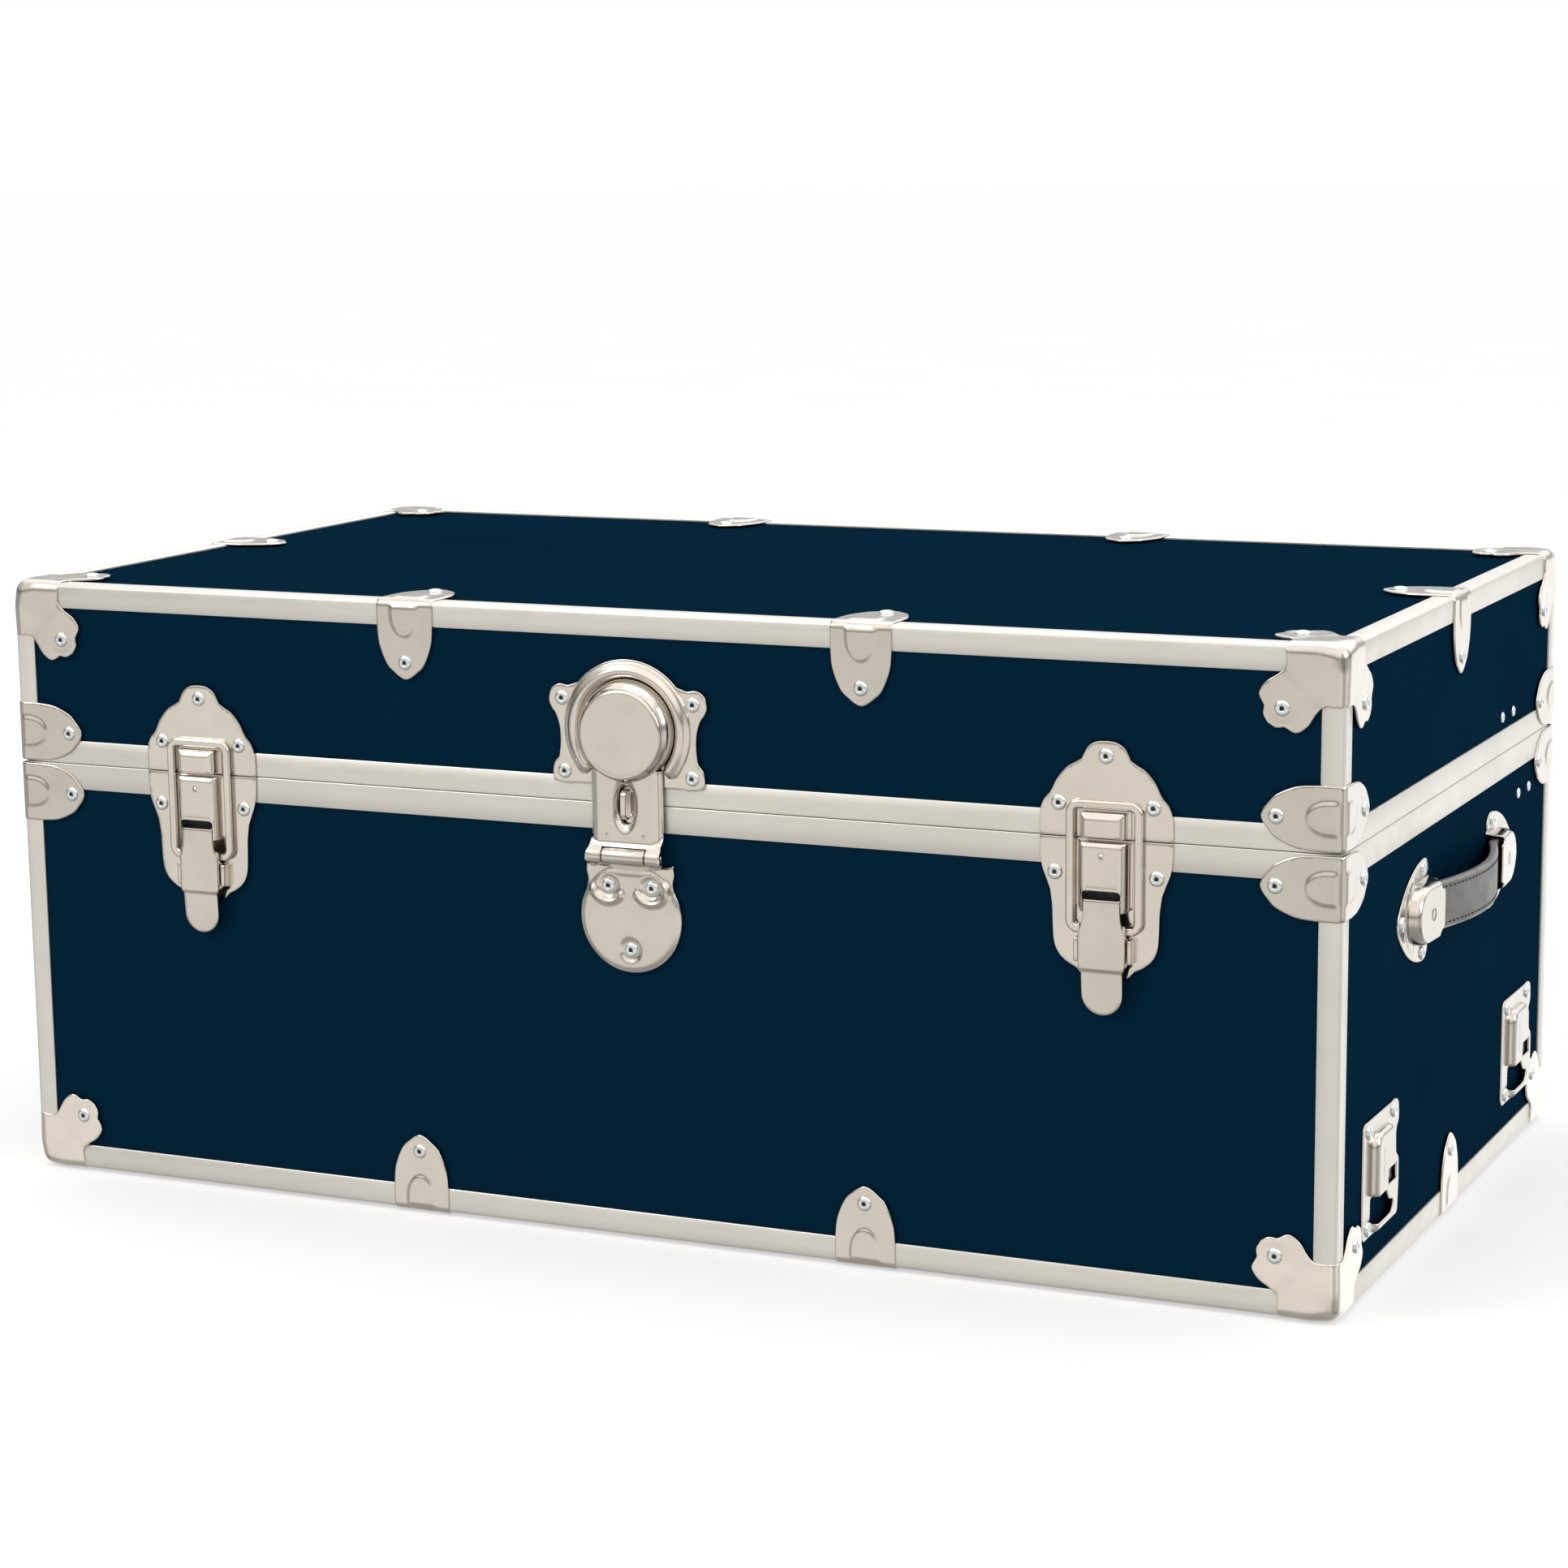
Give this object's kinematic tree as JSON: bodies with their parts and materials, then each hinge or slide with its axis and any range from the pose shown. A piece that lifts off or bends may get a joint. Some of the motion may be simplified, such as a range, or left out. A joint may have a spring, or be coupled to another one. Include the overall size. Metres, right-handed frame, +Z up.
{
  "type": "steamer trunk",
  "caption": "Rectangular navy footlocker with metal-trimmed edges, hinged lid, draw latches, hasp lock, end handles and a folding lid stay.",
  "frame": {"origin": "middle of the bounding box, at its bottom, lid shut", "axes": "+X along the trunk's length to its right end, -Y out of the front with the latches, +Z up"},
  "size_m": [0.8508, 0.4772, 0.3596],
  "materials": {
    "navy_panel": "plywood faced with smooth dark navy laminate, satin",
    "aluminium_trim": "satin drawn aluminium",
    "nickel_plate": "bright nickel plate on stamped steel",
    "handle_leather": "stitched grey-black leather with pale burnished edges",
    "stay_steel": "zinc-plated steel"
  },
  "bodies": {
    "base": {"base_box": "navy_panel", "base_trim_frame": "aluminium_trim", "corner_cap_base_front_left": "nickel_plate", "mid_clamp_base_front_left": "nickel_plate", "edge_clamp_base_front_left": "nickel_plate", "corner_cap_base_front_right": "nickel_plate", "mid_clamp_base_front_right": "nickel_plate", "edge_clamp_base_front_right": "nickel_plate", "corner_cap_base_back_left": "nickel_plate", "mid_clamp_base_back_left": "nickel_plate", "edge_clamp_base_back_left": "nickel_plate", "corner_cap_base_back_right": "nickel_plate", "mid_clamp_base_back_right": "nickel_plate", "edge_clamp_base_back_right": "nickel_plate", "edge_clamp_base_end_left": "nickel_plate", "latch_base_plate_left": "nickel_plate", "hinge_base_leaf_left": "nickel_plate", "handle_cap_left_front": "nickel_plate", "handle_cap_left_back": "nickel_plate", "edge_clamp_base_end_right": "nickel_plate", "latch_base_plate_right": "nickel_plate", "hinge_base_leaf_right": "nickel_plate", "handle_cap_right_front": "nickel_plate", "handle_cap_right_back": "nickel_plate", "lock_base_plate": "nickel_plate", "padlock_staple": "nickel_plate", "wheel_plate_front": "nickel_plate", "wheel_plate_back": "nickel_plate", "stay_base_bracket": "stay_steel"},
    "lid": {"lid_box": "navy_panel", "lid_trim_frame": "aluminium_trim", "corner_cap_lid_front_left": "nickel_plate", "mid_clamp_lid_front_left": "nickel_plate", "edge_clamp_lid_front_left": "nickel_plate", "corner_cap_lid_front_right": "nickel_plate", "mid_clamp_lid_front_right": "nickel_plate", "edge_clamp_lid_front_right": "nickel_plate", "corner_cap_lid_back_left": "nickel_plate", "mid_clamp_lid_back_left": "nickel_plate", "edge_clamp_lid_back_left": "nickel_plate", "corner_cap_lid_back_right": "nickel_plate", "mid_clamp_lid_back_right": "nickel_plate", "edge_clamp_lid_back_right": "nickel_plate", "edge_clamp_lid_end_left": "nickel_plate", "latch_lid_plate_left": "nickel_plate", "hinge_lid_leaf_left": "nickel_plate", "edge_clamp_lid_end_right": "nickel_plate", "latch_lid_plate_right": "nickel_plate", "hinge_lid_leaf_right": "nickel_plate", "lock_lid_plate": "nickel_plate", "stay_lid_bracket": "stay_steel"},
    "latch_lever_left": {"latch_lever_left": "nickel_plate"},
    "latch_bail_left": {"latch_bail_left": "nickel_plate"},
    "latch_lever_right": {"latch_lever_right": "nickel_plate"},
    "latch_bail_right": {"latch_bail_right": "nickel_plate"},
    "hasp": {"hasp": "nickel_plate"},
    "handle_left": {"handle_strap_left": "handle_leather"},
    "handle_right": {"handle_strap_right": "handle_leather"},
    "stay_lower_arm": {"stay_lower_arm": "stay_steel"},
    "stay_upper_arm": {"stay_upper_arm": "stay_steel"}
  },
  "joints": [
    {"name": "lid_hinge", "type": "hinge", "parent": "base", "child": "lid", "pos_m": [0, 0.2354, 0.2498], "axis": [-1, 0, 0], "range_deg": [0, 95]},
    {"name": "latch_lever_left_pivot", "type": "hinge", "parent": "base", "child": "latch_lever_left", "pos_m": [-0.279, -0.2326, 0.2158], "axis": [-1, 0, 0], "range_deg": [0, 130]},
    {"name": "latch_bail_left_pivot", "type": "hinge", "parent": "latch_lever_left", "child": "latch_bail_left", "pos_m": [-0.279, -0.23005, 0.2016], "axis": [-1, 0, 0], "range_deg": [-143, 0]},
    {"name": "latch_lever_right_pivot", "type": "hinge", "parent": "base", "child": "latch_lever_right", "pos_m": [0.279, -0.2326, 0.2158], "axis": [-1, 0, 0], "range_deg": [0, 130]},
    {"name": "latch_bail_right_pivot", "type": "hinge", "parent": "latch_lever_right", "child": "latch_bail_right", "pos_m": [0.279, -0.23005, 0.2016], "axis": [-1, 0, 0], "range_deg": [-143, 0]},
    {"name": "hasp_hinge", "type": "hinge", "parent": "base", "child": "hasp", "pos_m": [0, -0.233, 0.2212], "axis": [1, 0, 0], "range_deg": [0, 160]},
    {"name": "handle_left_pull", "type": "slide", "parent": "base", "child": "handle_left", "axis": [-1, 0, 0], "range_m": [0, 0.002]},
    {"name": "handle_right_pull", "type": "slide", "parent": "base", "child": "handle_right", "axis": [1, 0, 0], "range_m": [0, 0.002]},
    {"name": "stay_lower_pivot", "type": "hinge", "parent": "base", "child": "stay_lower_arm", "pos_m": [0.39405, 0.1664, 0.2183], "axis": [-1, 0, 0], "range_deg": [0, 95]},
    {"name": "stay_upper_pivot", "type": "hinge", "parent": "lid", "child": "stay_upper_arm", "pos_m": [0.39225, 0.1224, 0.2708], "axis": [-1, 0, 0], "range_deg": [-95, 0]}
  ],
  "couplings": [
    {"joint": "latch_bail_left_pivot", "follows": "latch_lever_left_pivot", "ratio": -1.1},
    {"joint": "latch_bail_right_pivot", "follows": "latch_lever_right_pivot", "ratio": -1.1},
    {"joint": "stay_lower_pivot", "follows": "lid_hinge", "ratio": 1},
    {"joint": "stay_upper_pivot", "follows": "lid_hinge", "ratio": -1}
  ]
}
